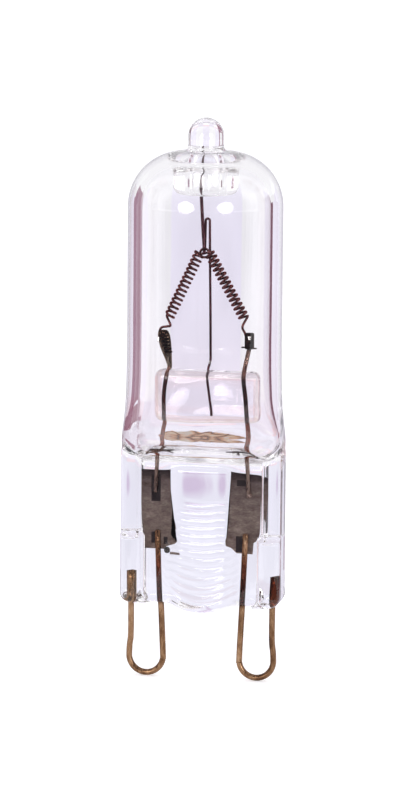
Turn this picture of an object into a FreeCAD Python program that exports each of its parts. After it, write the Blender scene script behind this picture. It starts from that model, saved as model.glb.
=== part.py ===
import FreeCAD, Part
import math
import os
import re

import Sketcher
from FreeCAD import Placement, Rotation, Vector

# Clear halogen capsule bulb, upright on its two wire loops, all lengths in millimetres.
# X runs across the flat press seal, Y through its thickness, Z up the bulb's axis.
# The origin lies on that axis, level with the bottom of the loops.

SIZES = {
    # glass envelope
    "overall_height": 45.0,
    "tube_diameter": 12.3,
    "glass_wall": 1.0,
    "tip_length": 2.65,
    "tip_diameter": 2.84,
    "neck_fillet": 0.4,
    "collar_diameter": 5.2,
    "collar_depth": 2.65,
    "bore_diameter": 2.25,
    "tip_wall": 2.4,
    # shoulder between the round tube and the flat seal
    "shoulder_top": 27.0,
    "flare_height": 22.0,
    "flare_growth": 0.12,
    "flare_inset": 0.17,
    "bulge_drop": 2.1,
    "bulge_inset": 1.3,
    "waist_drop": 3.3,
    "waist_inset": 3.45,
    "heel_drop": 4.5,
    "heel_swell": 0.2,
    "floor_drop": 3.1,
    "floor_side_inset": 0.15,
    "floor_front_inset": 3.35,
    # press seal
    "seal_width": 13.0,
    "seal_bottom": 6.1,
    "seal_corner": 0.9,
    "web_thickness": 2.0,
    "rib_width": 1.45,
    "rib_thickness": 3.0,
    "rib_drop": 3.5,
    "rib_fillet": 0.45,
    "lug_width": 1.75,
    "lug_thickness": 3.8,
    "lug_top": 11.6,
    "lug_fillet": 0.7,
    "boss_width": 6.1,
    "boss_thickness": 3.4,
    "boss_bottom": 5.45,
    "boss_drop": 3.9,
    "boss_arc": 5.0,
    "ridge_pitch": 0.62,
    "ridge_width": 0.34,
    "ridge_height": 0.14,
    "ridge_start": 6.6,
    "ridge_count": 13,
    "ridge_arc": 9.0,
    # clearance between the glass and what is sealed in it
    "seal_clearance": 0.01,
    # pin loops
    "pin_spacing": 9.0,
    "pin_diameter": 0.5,
    "loop_width": 3.28,
    "inner_leg_grip": 1.5,
    "inner_leg_offset": 0.45,
    "outer_leg_top": 8.6,
    "outer_leg_jog": 0.13,
    "jog_height": 3.3,
    # foils
    "foil_thickness": 0.05,
    "foil_cover": 2.1,
    "foil_height": 6.4,
    "foil_width": 2.6,
    "foil_center": 3.66,
    "foil_step": 0.3,
    "foil_tear": 0.45,
    "fold_width": 0.9,
    "fold_length": 3.3,
    # lead wires, clamps and bridge bar
    "lead_diameter": 0.34,
    "lead_depth": 3.9,
    "lead_foot_offset": 3.78,
    "lead_floor_offset": 3.6,
    "lead_bend_offset": 3.15,
    "bridge_side_gap": 0.95,
    "bridge_height": 4.2,
    "bridge_thickness": 1.9,
    "bridge_rise": 1.9,
    "bridge_shift": 0.3,
    "bridge_fillet": 0.65,
    "clamp_rise": 3.1,
    "left_clamp_offset": 3.33,
    "right_clamp_offset": 3.66,
    "clamp_width": 0.95,
    "clamp_thickness": 0.62,
    "left_clamp_tip": 0.5,
    "left_clamp_foot_offset": 0.56,
    "right_clamp_length": 1.35,
    "right_clamp_width": 0.74,
    "clamp_grip": 0.4,
    # filament
    "filament_wire": 0.17,
    "coil_diameter": 0.9,
    "coil_pitch": 0.385,
    "coil_turns": 15,
    "filament_rise": 6.2,
    "apex_width": 0.42,
    "apex_rise": 0.34,
    "tail_wave": 0.45,
    # supports
    "support_diameter": 0.23,
    "support_gap": 0.05,
    "support_drop": 2.0,
    "support_offset": 0.3,
    "hook_length": 0.62,
    "centre_diameter": 0.2,
    "hairpin_rise": 2.7,
    "hairpin_offset": 0.28,
    "hairpin_width": 0.34,
    "hairpin_tail": 2.3,
    "centre_depth": 0.5,
}

# places that follow from the sizes, so that what stands on, or hangs from, another piece goes with it
PLACES = {
    "dome_height": "overall_height - tip_length",
    "collar_height": "dome_height - collar_depth",
    "bore_top": "overall_height - tip_wall",
    "support_top": "overall_height - support_drop",
    "bore_width": "tube_diameter - 2 * glass_wall",
    "flare_depth": "tube_diameter / 2 - flare_inset",
    "bulge_height": "flare_height - bulge_drop",
    "bulge_depth": "tube_diameter / 2 - bulge_inset",
    "waist_height": "flare_height - waist_drop",
    "waist_depth": "tube_diameter / 2 - waist_inset",
    "heel_height": "flare_height - heel_drop",
    "heel_depth": "web_thickness / 2 + heel_swell",
    "floor_height": "flare_height - floor_drop",
    "floor_width": "bore_width - 2 * floor_side_inset",
    "floor_depth": "bore_width - 2 * floor_front_inset",
    "rib_top": "flare_height - rib_drop",
    "boss_top": "flare_height - boss_drop",
    "foil_bottom": "floor_height - foil_cover - foil_height",
    "inner_leg_top": "foil_bottom + inner_leg_grip",
    "lead_foot": "floor_height - lead_depth",
    "bridge_base": "floor_height + bridge_rise",
    "bridge_width": "bore_width - 2 * bridge_side_gap",
    "clamp_top": "bridge_base + bridge_height + clamp_rise",
    "apex_height": "clamp_top + filament_rise",
    "hairpin_top": "apex_height + hairpin_rise",
    "centre_foot": "bridge_base + centre_depth",
}

LEFT = -1
RIGHT = 1
# how near an edge has to lie to the place that a fillet looks for
TOUCH = 0.01

doc = FreeCAD.newDocument("halogen_capsule_bulb")
sheet = doc.addObject("Spreadsheet::Sheet", "Sizes")
for row, (alias, size) in enumerate(SIZES.items(), start=1):
    sheet.set(f"A{row}", alias)
    sheet.set(f"B{row}", str(size))
    sheet.setAlias(f"B{row}", alias)
doc.recompute()


def bound(text):
    """The expression with its places written out and each size's name pointed at its cell."""
    return re.sub(r"[a-z]+(_[a-z]+)+", cell, str(text))


def cell(word):
    """What a name in an expression stands for: a place, written out, or a size's cell."""
    name = word.group()
    return f"({bound(PLACES[name])})" if name in PLACES else f"Sizes.{name}"


def value(text):
    """What an expression of sizes comes to, in millimetres."""
    number = sheet.evalExpression(bound(text))
    return float(getattr(number, "Value", number))


def origin_plane(body, role):
    return next(item for item in body.Origin.OriginFeatures if item.Role == role)


def new_sketch(body, name, role, offset=("0", "0", "0")):
    """An empty sketch on one of the body's own origin planes, moved by an offset in its own axes."""
    sketch = body.newObject("Sketcher::SketchObject", name)
    sketch.AttachmentSupport = [(origin_plane(body, role), "")]
    sketch.MapMode = "FlatFace"
    for axis, shift in zip("xyz", offset):
        sketch.setExpression(f"AttachmentOffset.Base.{axis}", bound(shift))
    return sketch


def arc_between(start, end, radius, side):
    """The shorter arc from start to end; its centre is left of the way for side 1, right for side -1."""
    way = end - start
    middle = (start + end) * 0.5
    rise = math.sqrt(max(radius**2 - (way.Length / 2) ** 2, 0))
    centre = middle + Vector(-way.y, way.x, 0).normalize() * rise * side
    first, last = (start, end) if side > 0 else (end, start)
    first_angle = math.atan2(first.y - centre.y, first.x - centre.x)
    last_angle = math.atan2(last.y - centre.y, last.x - centre.x)
    if last_angle <= first_angle:
        last_angle += 2 * math.pi
    circle = Part.Circle(centre, Vector(0, 0, 1), radius)
    return Part.ArcOfCircle(circle, first_angle, last_angle)


def draw(sketch, corners, closed=True):
    """Draws an outline. A corner is (x, y), or (x, y, radius, side) where an arc leads on from it."""
    points = [Vector(value(corner[0]), value(corner[1]), 0) for corner in corners]
    count = len(corners) if closed else len(corners) - 1
    ends = []
    for index in range(count):
        start = points[index]
        end = points[(index + 1) % len(points)]
        corner = corners[index]
        if len(corner) == 2:
            edge = sketch.addGeometry(Part.LineSegment(start, end))
            ends.append((edge, 1, 2))
            continue
        radius, side = corner[2], corner[3]
        edge = sketch.addGeometry(arc_between(start, end, value(radius), side))
        limit = sketch.addConstraint(Sketcher.Constraint("Radius", edge, value(radius)))
        sketch.setExpression(f"Constraints[{limit}]", bound(radius))
        ends.append((edge, 1, 2) if side > 0 else (edge, 2, 1))
    for index, (edge, first, last) in enumerate(ends):
        place(sketch, edge, first, corners[index])
        if closed or index + 1 < count:
            following = ends[(index + 1) % count]
            sketch.addConstraint(Sketcher.Constraint("Coincident", edge, last, following[0], following[1]))
        else:
            place(sketch, edge, last, corners[index + 1])
    return sketch


def place(sketch, edge, end, corner):
    """Ties one end of an edge to its place, measured from the sketch's origin."""
    for kind, text in (("DistanceX", corner[0]), ("DistanceY", corner[1])):
        limit = sketch.addConstraint(Sketcher.Constraint(kind, -1, 1, edge, end, value(text)))
        sketch.setExpression(f"Constraints[{limit}]", bound(text))


def new_body(name):
    return doc.addObject("PartDesign::Body", name)


def pad(body, sketch, name, length):
    """A pad to both sides of its sketch."""
    feature = body.newObject("PartDesign::Pad", name)
    feature.Profile = sketch
    feature.Midplane = True
    feature.setExpression("Length", bound(length))
    return feature


def revolve(body, sketch, name):
    feature = body.newObject("PartDesign::Revolution", name)
    feature.Profile = sketch
    feature.ReferenceAxis = (sketch, ["V_Axis"])
    feature.Angle = 360
    return feature


def edges_where(shape, wanted):
    """Names of the shape's edges for which wanted(edge) is true."""
    return [f"Edge{index}" for index, edge in enumerate(shape.Edges, start=1) if wanted(edge)]


def fillet(body, base, name, radius, wanted):
    doc.recompute()
    feature = body.newObject("PartDesign::Fillet", name)
    feature.Base = (base, edges_where(base.Shape, wanted))
    feature.setExpression("Radius", bound(radius))
    return feature


def is_upright(edge):
    """True for a straight edge that runs along Z."""
    if len(edge.Vertexes) != 2 or not isinstance(edge.Curve, Part.Line):
        return False
    way = edge.Vertexes[1].Point - edge.Vertexes[0].Point
    return abs(way.z) > 0.99 * way.Length


# Glass envelope

TUBE_RADIUS = "tube_diameter / 2"
INNER_RADIUS = "(tube_diameter / 2 - glass_wall)"
TIP_RADIUS = "tip_diameter / 2"
NECK_RADIUS = "(tip_diameter / 2 + neck_fillet)"
DOME_CORNER = f"({TUBE_RADIUS} - {NECK_RADIUS})"
INNER_CORNER = f"({DOME_CORNER} - glass_wall)"
COLLAR_RADIUS = "collar_diameter / 2"
BORE_RADIUS = "bore_diameter / 2"
COLLAR_ROUND = "(collar_diameter - bore_diameter) / 4"
FLARE_MIDDLE = "(shoulder_top + flare_height) / 2"
BULGE_INSIDE = "(bulge_height + floor_height + glass_wall) / 2"


def tube_and_dome():
    """The round tube above the shoulder, its dome and the sealed exhaust tip."""
    body = new_body("tube_and_dome")
    corners = [
        ("0", "shoulder_top"),
        (TUBE_RADIUS, "shoulder_top"),
        (TUBE_RADIUS, f"dome_height - {DOME_CORNER}", DOME_CORNER, 1),
        (NECK_RADIUS, "dome_height", "neck_fillet", -1),
        (TIP_RADIUS, "dome_height + neck_fillet"),
        (TIP_RADIUS, f"overall_height - {TIP_RADIUS}", TIP_RADIUS, 1),
        ("0", "overall_height"),
    ]
    section = draw(new_sketch(body, "dome_section", "XZ_Plane"), corners)
    revolve(body, section, "dome_turned")
    return body


def tube_cavity():
    """The round hollow above the shoulder, with the collar that hangs round the exhaust bore."""
    body = new_body("tube_cavity")
    collar_meet = f"dome_height - glass_wall - {INNER_CORNER} + sqrt(({INNER_CORNER})^2"
    collar_meet += f" - ({COLLAR_RADIUS} - {INNER_RADIUS} + {INNER_CORNER})^2)"
    corners = [
        ("0", "shoulder_top"),
        (INNER_RADIUS, "shoulder_top"),
        (INNER_RADIUS, f"dome_height - glass_wall - {INNER_CORNER}", INNER_CORNER, 1),
        (COLLAR_RADIUS, collar_meet),
        (COLLAR_RADIUS, f"collar_height + {COLLAR_ROUND}", COLLAR_ROUND, -1),
        (f"({COLLAR_RADIUS} + {BORE_RADIUS}) / 2", "collar_height", COLLAR_ROUND, -1),
        (BORE_RADIUS, f"collar_height + {COLLAR_ROUND}"),
        (BORE_RADIUS, f"bore_top - {BORE_RADIUS}", BORE_RADIUS, 1),
        ("0", "bore_top"),
    ]
    section = draw(new_sketch(body, "cavity_section", "XZ_Plane"), corners)
    revolve(body, section, "cavity_turned")
    return body


def oval_loft(name, sections):
    """A smooth loft through level ovals, each given by its half width, half depth and height."""
    ovals = []
    for index, (half_width, half_depth, height) in enumerate(sections, start=1):
        oval = doc.addObject("Part::Ellipse", f"{name}_oval_{index}")
        oval.setExpression("MajorRadius", bound(half_width))
        oval.setExpression("MinorRadius", bound(half_depth))
        oval.setExpression("Placement.Base.z", bound(height))
        ovals.append(oval)
    loft = doc.addObject("Part::Loft", name)
    loft.Sections = ovals
    loft.Solid = True
    loft.Ruled = False
    return loft


def shoulder():
    """The flare from the round tube down to the flat seal."""
    half_seal = "seal_width / 2"
    return oval_loft("shoulder", [
        (TUBE_RADIUS, TUBE_RADIUS, "shoulder_top"),
        (f"{TUBE_RADIUS} + flare_growth / 4", TUBE_RADIUS, FLARE_MIDDLE),
        (f"{TUBE_RADIUS} + flare_growth", "flare_depth", "flare_height"),
        (half_seal, "bulge_depth", "bulge_height"),
        (half_seal, "waist_depth", "waist_height"),
        (f"{half_seal} - flare_growth", "heel_depth", "heel_height"),
    ])


def shoulder_cavity():
    """The hollow inside the shoulder, closing on the oval floor above the seal."""
    return oval_loft("shoulder_cavity", [
        (INNER_RADIUS, INNER_RADIUS, "shoulder_top"),
        (f"{INNER_RADIUS} + flare_growth / 4", INNER_RADIUS, FLARE_MIDDLE),
        (f"{INNER_RADIUS} + flare_growth", "flare_depth - glass_wall", "flare_height"),
        ("seal_width / 2 - glass_wall", "bulge_depth - glass_wall", BULGE_INSIDE),
        ("floor_width / 2", "floor_depth / 2", "floor_height"),
    ])


def block(left, right, low, high):
    """Corners of an upright rectangle."""
    return [(left, low), (right, low), (right, high), (left, high)]


def both_edges(body, name, outline, thickness):
    """Two mirrored pads, one at each edge of the seal, from the outline of the right one."""
    for side, sign in (("left", -1), ("right", 1)):
        corners = [(f"{sign} * ({corner[0]})", *corner[1:3], *[turn * sign for turn in corner[3:]])
                   for corner in outline]
        section = draw(new_sketch(body, f"{name}_{side}_section", "XZ_Plane"), corners)
        feature = pad(body, section, f"{name}_{side}", thickness)
    return feature


def press_seal():
    """The flat pinched foot: web, edge ribs, lower lugs and the ridged boss in the middle."""
    body = new_body("press_seal")
    half = "seal_width / 2"
    web = draw(new_sketch(body, "web_section", "XZ_Plane"), [
        (f"-{half} + seal_corner", "seal_bottom"),
        (f"{half} - seal_corner", "seal_bottom", "seal_corner", 1),
        (half, "seal_bottom + seal_corner"),
        (half, "waist_height"),
        (f"-{half}", "waist_height"),
        (f"-{half}", "seal_bottom + seal_corner", "seal_corner", 1),
    ])
    pad(body, web, "web", "web_thickness")
    ribs = both_edges(body, "rib", block(f"{half} - rib_width", half, "lug_top", "rib_top"), "rib_thickness")
    rib_face = value("rib_thickness") / 2
    fillet(body, ribs, "rib_rounding", "rib_fillet", lambda edge: is_upright(edge)
           and abs(abs(edge.CenterOfMass.y) - rib_face) < TOUCH
           and abs(edge.CenterOfMass.x) > value(half) - TOUCH)
    lugs = both_edges(body, "lug", [
        (f"{half} - lug_width", "seal_bottom"),
        (f"{half} - seal_corner", "seal_bottom", "seal_corner", 1),
        (half, "seal_bottom + seal_corner"),
        (half, "lug_top"),
        (f"{half} - lug_width", "lug_top"),
    ], "lug_thickness")
    lug_face = value("lug_thickness") / 2
    fillet(body, lugs, "lug_rounding", "lug_fillet",
           lambda edge: is_upright(edge) and abs(abs(edge.CenterOfMass.y) - lug_face) < TOUCH)
    boss_side = "boss_width / 2"
    boss_corner = f"boss_bottom + boss_arc - sqrt(boss_arc^2 - ({boss_side})^2)"
    boss = draw(new_sketch(body, "boss_section", "XZ_Plane"), [
        (f"-{boss_side}", boss_corner, "boss_arc", 1),
        (boss_side, boss_corner),
        (boss_side, "boss_top"),
        (f"-{boss_side}", "boss_top"),
    ])
    pad(body, boss, "boss", "boss_thickness")
    ridges(body)
    return body


def ridges(body):
    """Shallow curved ridges across both faces of the boss."""
    side = "(boss_width / 2 - ridge_width)"
    lift = f"ridge_arc - sqrt(ridge_arc^2 - {side}^2)"
    ridge = draw(new_sketch(body, "ridge_section", "XZ_Plane"), [
        (f"-{side}", f"ridge_start + {lift}", "ridge_arc", 1),
        (side, f"ridge_start + {lift}"),
        (side, f"ridge_start + ridge_width + {lift}", "ridge_arc", -1),
        (f"-{side}", f"ridge_start + ridge_width + {lift}"),
    ])
    first = pad(body, ridge, "ridge", "boss_thickness + 2 * ridge_height")
    doc.recompute()
    row = body.newObject("PartDesign::LinearPattern", "ridge_row")
    row.Originals = [first]
    row.Direction = (ridge, ["V_Axis"])
    row.setExpression("Length", bound("ridge_pitch * (ridge_count - 1)"))
    row.setExpression("Occurrences", bound("ridge_count"))
    body.Tip = row


def fuse(name, shapes):
    joined = doc.addObject("Part::MultiFuse", name)
    joined.Shapes = shapes
    joined.Refine = True
    return joined


def cut(name, base, tool):
    result = doc.addObject("Part::Cut", name)
    result.Base = base
    result.Tool = tool
    return result


# Wires

LOOP_BEND = "(loop_width - pin_diameter) / 2"
LEFT_CLAMP_FOOT = "(bridge_base + bridge_height + support_gap)"
PIN_PLANE = "(foil_thickness + pin_diameter) / 2 + seal_clearance"
LEAD_PLANE = "(foil_thickness + lead_diameter) / 2 + seal_clearance"
CENTRE_PLANE = f"{LEAD_PLANE} - (coil_diameter + centre_diameter) / 2 - support_gap"
APEX_TOP = "apex_height + apex_rise"


def wire(name, route, diameter, plane="XZ_Plane", depth="0"):
    """A round wire along a flat route, which starts upright. Depth is towards the front, against Y."""
    body = new_body(name)
    path = draw(new_sketch(body, f"{name}_route", plane, ("0", "0", depth)), route, closed=False)
    along, height = route[0][0], route[0][1]
    start = (along, f"-({depth})", height) if plane == "XZ_Plane" else (depth, along, height)
    profile = new_sketch(body, f"{name}_section", "XY_Plane", start)
    circle = profile.addGeometry(Part.Circle(Vector(), Vector(0, 0, 1), value(diameter) / 2))
    profile.addConstraint(Sketcher.Constraint("Coincident", circle, 3, -1, 1))
    limit = profile.addConstraint(Sketcher.Constraint("Diameter", circle, value(diameter)))
    profile.setExpression(f"Constraints[{limit}]", bound(diameter))
    pipe = body.newObject("PartDesign::AdditivePipe", f"{name}_pipe")
    pipe.Profile = profile
    pipe.Spine = (path, [f"Edge{index}" for index in range(1, len(route))])
    return body


def channel(name, route, diameter, plane="XZ_Plane", depth="0"):
    """The room for a wire in the glass round it."""
    return wire(f"{name}_channel", route, f"{diameter} + 2 * seal_clearance", plane, depth)


def loop_route(side):
    """Inner leg from the foil down, round bend, outer leg up into its lug."""
    sign = "-" if side == LEFT else ""
    bend = LOOP_BEND
    inner = f"(pin_spacing / 2 - {bend})"
    outer = f"(pin_spacing / 2 + {bend})"
    level = f"{bend} + pin_diameter / 2"
    return [
        (f"{sign}({inner} + inner_leg_offset)", "inner_leg_top"),
        (f"{sign}{inner}", level, bend, side),
        (f"{sign}pin_spacing / 2", "pin_diameter / 2", bend, side),
        (f"{sign}{outer}", level),
        (f"{sign}({outer} - outer_leg_jog)", "jog_height"),
        (f"{sign}({outer} - outer_leg_jog)", "outer_leg_top"),
    ]


def left_lead_route():
    """From inside the left clamp, through the bridge bar, to the left foil."""
    return [
        ("-(left_clamp_offset - left_clamp_foot_offset)", f"{LEFT_CLAMP_FOOT} + lead_diameter"),
        ("-lead_bend_offset", "bridge_base + bridge_height / 2 + lead_diameter"),
        ("-lead_bend_offset", "bridge_base"),
        ("-lead_floor_offset", "floor_height"),
        ("-lead_foot_offset", "lead_foot"),
    ]


def right_lead_route():
    """From inside the right clamp, through the bridge bar, to the right foil."""
    return [
        ("right_clamp_offset", "clamp_top - right_clamp_length + lead_diameter"),
        ("lead_bend_offset", "bridge_base + bridge_height - lead_diameter"),
        ("(lead_bend_offset + lead_floor_offset) / 2", "bridge_base + bridge_height / 2"),
        ("lead_floor_offset", "floor_height"),
        ("lead_foot_offset", "lead_foot"),
    ]


def top_support_route():
    """From the exhaust tip down behind the filament's top, then forward under it."""
    back = f"support_offset - ({LEAD_PLANE})"
    bend = "support_diameter"
    low = f"{APEX_TOP} - filament_wire / 2 - support_diameter / 2 - support_gap"
    return [
        (back, "support_top"),
        (back, f"{low} + {bend}", bend, -1),
        (f"{back} - {bend}", low),
        (f"{back} - hook_length", low),
    ]


def centre_route():
    """From the bridge bar up to the hairpin and down its short leg."""
    long_leg = "(hairpin_offset + hairpin_width / 2)"
    short_leg = "(hairpin_offset - hairpin_width / 2)"
    bend = "hairpin_width / 2"
    bridge_top = "bridge_base + bridge_height"
    return [
        (f"{long_leg} + centre_diameter", "centre_foot"),
        (f"{long_leg} - centre_diameter", f"{bridge_top} - bridge_fillet"),
        (long_leg, f"{bridge_top} + bridge_fillet"),
        (long_leg, f"hairpin_top - {bend}", bend, 1),
        ("hairpin_offset", "hairpin_top", bend, 1),
        (short_leg, f"hairpin_top - {bend}"),
        (short_leg, "hairpin_top - hairpin_tail"),
    ]


# Foils in the press seal

FOIL_INNER = "(foil_center - foil_width / 2)"
FOIL_OUTER = "(foil_center + foil_width / 2)"
FOIL_TOP = "(foil_bottom + foil_height)"


def foil(name, side, flap, thickness):
    """A thin foil with the ragged lower corner that pinching tore, and any folded flap at its outer edge."""
    sign = "-" if side == LEFT else ""
    outline = [
        (f"{sign}({FOIL_OUTER} - foil_step)", "foil_bottom"),
        (f"{sign}({FOIL_INNER} + foil_tear)", "foil_bottom"),
        (f"{sign}({FOIL_INNER} - foil_tear)", "foil_bottom + 2 * foil_step"),
        (f"{sign}({FOIL_INNER} - foil_tear / 2)", "foil_bottom + 4 * foil_step"),
        (f"{sign}({FOIL_INNER} - foil_tear)", "foil_bottom + 6 * foil_step"),
        (f"{sign}{FOIL_INNER}", "foil_bottom + foil_height / 2"),
        (f"{sign}{FOIL_INNER}", FOIL_TOP),
        (f"{sign}{FOIL_OUTER}", FOIL_TOP),
        (f"{sign}{FOIL_OUTER}", "foil_bottom + 4 * foil_step"),
    ]
    body = new_body(name)
    pad(body, draw(new_sketch(body, f"{name}_outline", "XZ_Plane"), outline), f"{name}_sheet", thickness)
    if flap:
        fold = [
            (f"{sign}{FOIL_OUTER}", f"{FOIL_TOP} - foil_step - fold_length"),
            (f"{sign}({FOIL_OUTER} + fold_width - foil_step)", f"{FOIL_TOP} - foil_step - fold_length"),
            (f"{sign}({FOIL_OUTER} + fold_width)", f"{FOIL_TOP} - foil_step - fold_length / 2"),
            (f"{sign}({FOIL_OUTER} + fold_width)", f"{FOIL_TOP} - foil_step"),
            (f"{sign}{FOIL_OUTER}", f"{FOIL_TOP} - foil_step"),
        ]
        pad(body, draw(new_sketch(body, f"{name}_fold", "XZ_Plane"), fold), f"{name}_flap", thickness)
    return body


# Bridge bar and clamps

LEAD_Y = f"-({LEAD_PLANE})"


def bridge_blank():
    """The clear cross bar before its wires are let in."""
    body = new_body("bridge_blank")
    half = "bridge_width / 2"
    outline = block(f"bridge_shift - {half}", f"bridge_shift + {half}",
                    "bridge_base", "bridge_base + bridge_height")
    section = draw(new_sketch(body, "bridge_section", "XZ_Plane", ("0", "0", LEAD_PLANE)), outline)
    bar = pad(body, section, "bridge_bar_pad", "bridge_thickness")
    middle = -value(LEAD_PLANE)
    corners = fillet(body, bar, "bridge_corners", "bridge_fillet",
                     lambda edge: edge.BoundBox.YLength > value("bridge_thickness") / 2)
    fillet(body, corners, "bridge_edges", "bridge_fillet * 2 / 3",
           lambda edge: abs(abs(edge.CenterOfMass.y - middle) - value("bridge_thickness") / 2) < TOUCH
           and edge.BoundBox.YLength < TOUCH)
    return body


def left_clamp_blank():
    """The long crimp, tapering down to its lead wire."""
    loft = oval_loft("left_clamp_blank", [
        ("left_clamp_tip / 2", "left_clamp_tip / 2", LEFT_CLAMP_FOOT),
        ("clamp_width / 2", "clamp_thickness / 2", "clamp_top - clamp_width / 2"),
        ("clamp_width / 2 - filament_wire", "clamp_thickness / 2 - filament_wire / 2", "clamp_top"),
    ])
    for oval, lean in zip(loft.Sections, ("left_clamp_foot_offset", "left_clamp_foot_offset / 7", "0")):
        oval.setExpression("Placement.Base.x", bound(f"{lean} - left_clamp_offset"))
        oval.setExpression("Placement.Base.y", bound(LEAD_Y))
    return loft


def right_clamp_blank():
    """The short crimp, a folded box with rounded edges."""
    body = new_body("right_clamp_blank")
    half = "right_clamp_width / 2"
    outline = block(f"right_clamp_offset - {half}", f"right_clamp_offset + {half}",
                    "clamp_top - right_clamp_length", "clamp_top")
    section = draw(new_sketch(body, "right_clamp_section", "XZ_Plane", ("0", "0", LEAD_PLANE)), outline)
    box = pad(body, section, "right_clamp_box", "clamp_thickness")
    fillet(body, box, "right_clamp_edges", "filament_wire", is_upright)
    return body


def tail_bore(name, side):
    """The bore in a clamp's top for the filament's end."""
    bore = doc.addObject("Part::Cylinder", name)
    bore.setExpression("Radius", bound("filament_wire / 2 + seal_clearance"))
    bore.setExpression("Height", bound("2 * clamp_grip"))
    offset = "-left_clamp_offset" if side == LEFT else "right_clamp_offset"
    bore.setExpression("Placement.Base.x", bound(offset))
    bore.setExpression("Placement.Base.y", bound(LEAD_Y))
    bore.setExpression("Placement.Base.z", bound("clamp_top - clamp_grip"))
    return bore


# Filament

COIL_SIDES = 6
COIL_STEPS = 10


def coil_points(start, end, turns):
    """Points of a coil whose axis runs from start to end."""
    axis = (end - start).normalize()
    across = axis.cross(Vector(0, 1, 0)).normalize()
    back = across.cross(axis)
    radius = value("(coil_diameter - filament_wire) / 2")
    points = []
    for step in range(turns * COIL_STEPS + 1):
        angle = 2 * math.pi * step / COIL_STEPS
        along = start + (end - start) * (step / (turns * COIL_STEPS))
        points.append(along + across * (radius * math.cos(angle)) + back * (radius * math.sin(angle)))
    return points


def coil_foot(offset, spread, apex, length):
    """Where the axis of a coil of this length ends, half a coil inside its clamp."""
    reach = offset - value("coil_diameter / 2")
    drop = math.sqrt(max(length**2 - (reach - spread) ** 2, spread**2))
    return Vector(reach, 0, apex - drop)


def mirrored(points):
    return [Vector(-point.x, point.y, point.z) for point in points]


def filament_side(offset):
    """One half of the wire, from its end in the clamp up to the last turn of its coil."""
    apex = value("apex_height")
    spread = value("apex_width")
    turns = round(value("coil_turns"))
    top = value("clamp_top")
    wave = value("tail_wave")
    foot = coil_foot(offset, spread, apex, turns * value("coil_pitch"))
    coil = coil_points(Vector(-foot.x, 0, foot.z), Vector(-spread, 0, apex), turns)
    rise = coil[0].z - top
    tail = [
        Vector(-offset, 0, top - value("clamp_grip")),
        Vector(-offset, 0, top + rise / 4),
        Vector(wave - offset, 0, top + rise / 2),
    ]
    return tail + coil


def filament_points():
    """The wire's middle line: left end, left coil, top arch, right coil, right end."""
    left = filament_side(value("left_clamp_offset"))
    right = mirrored(filament_side(value("right_clamp_offset")))
    return left + [Vector(0, 0, value(APEX_TOP))] + right[::-1]


def mitred_wire(points, radius, sides):
    """A wire of straight runs with flat sides, mitred where the runs meet."""
    ways = [(after - before).normalize() for before, after in zip(points, points[1:])]
    across = ways[0].cross(Vector(0, 1, 0)).normalize()
    back = across.cross(ways[0])
    angles = [2 * math.pi * side / sides for side in range(sides)]
    ring = [points[0] + across * (radius * math.cos(a)) + back * (radius * math.sin(a)) for a in angles]
    rings = [ring]
    for index, way in enumerate(ways, start=1):
        onward = ways[index] if index < len(ways) else way
        normal = (way + onward).normalize()
        ring = [corner + way * ((points[index] - corner).dot(normal) / way.dot(normal)) for corner in ring]
        rings.append(ring)
    faces = [Part.Face(Part.makePolygon(ring + ring[:1])) for ring in (rings[0], rings[-1])]
    for low, high in zip(rings, rings[1:]):
        for this, following in zip(range(sides), [*range(1, sides), 0]):
            corners = [low[this], low[following], high[following], high[this], low[this]]
            faces.append(Part.Face(Part.makePolygon(corners)))
    shell = Part.Shell(faces)
    shell.sewShape()
    return Part.Solid(shell)


def filament():
    """The coiled wire, bent in the plane of the lead wires."""
    feature = doc.addObject("Part::Feature", "filament")
    feature.Shape = mitred_wire(filament_points(), value("filament_wire / 2"), COIL_SIDES)
    feature.Placement = Placement(Vector(0, value(LEAD_Y), 0), Rotation())
    return feature


# Assembly

def wires_and_channels():
    """The round wires by node name, and the room that each needs in the glass."""
    routes = {
        "pin_loop_left": (loop_route(LEFT), "pin_diameter", "XZ_Plane", PIN_PLANE),
        "pin_loop_right": (loop_route(RIGHT), "pin_diameter", "XZ_Plane", PIN_PLANE),
        "lead_wire_left": (left_lead_route(), "lead_diameter", "XZ_Plane", LEAD_PLANE),
        "lead_wire_right": (right_lead_route(), "lead_diameter", "XZ_Plane", LEAD_PLANE),
        "centre_support_wire": (centre_route(), "centre_diameter", "XZ_Plane", CENTRE_PLANE),
        "top_support_wire": (top_support_route(), "support_diameter", "YZ_Plane", "0"),
    }
    wires = {name: wire(name, *facts) for name, facts in routes.items()}
    channels = {name: channel(name, *facts) for name, facts in routes.items()}
    return wires, channels


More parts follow.
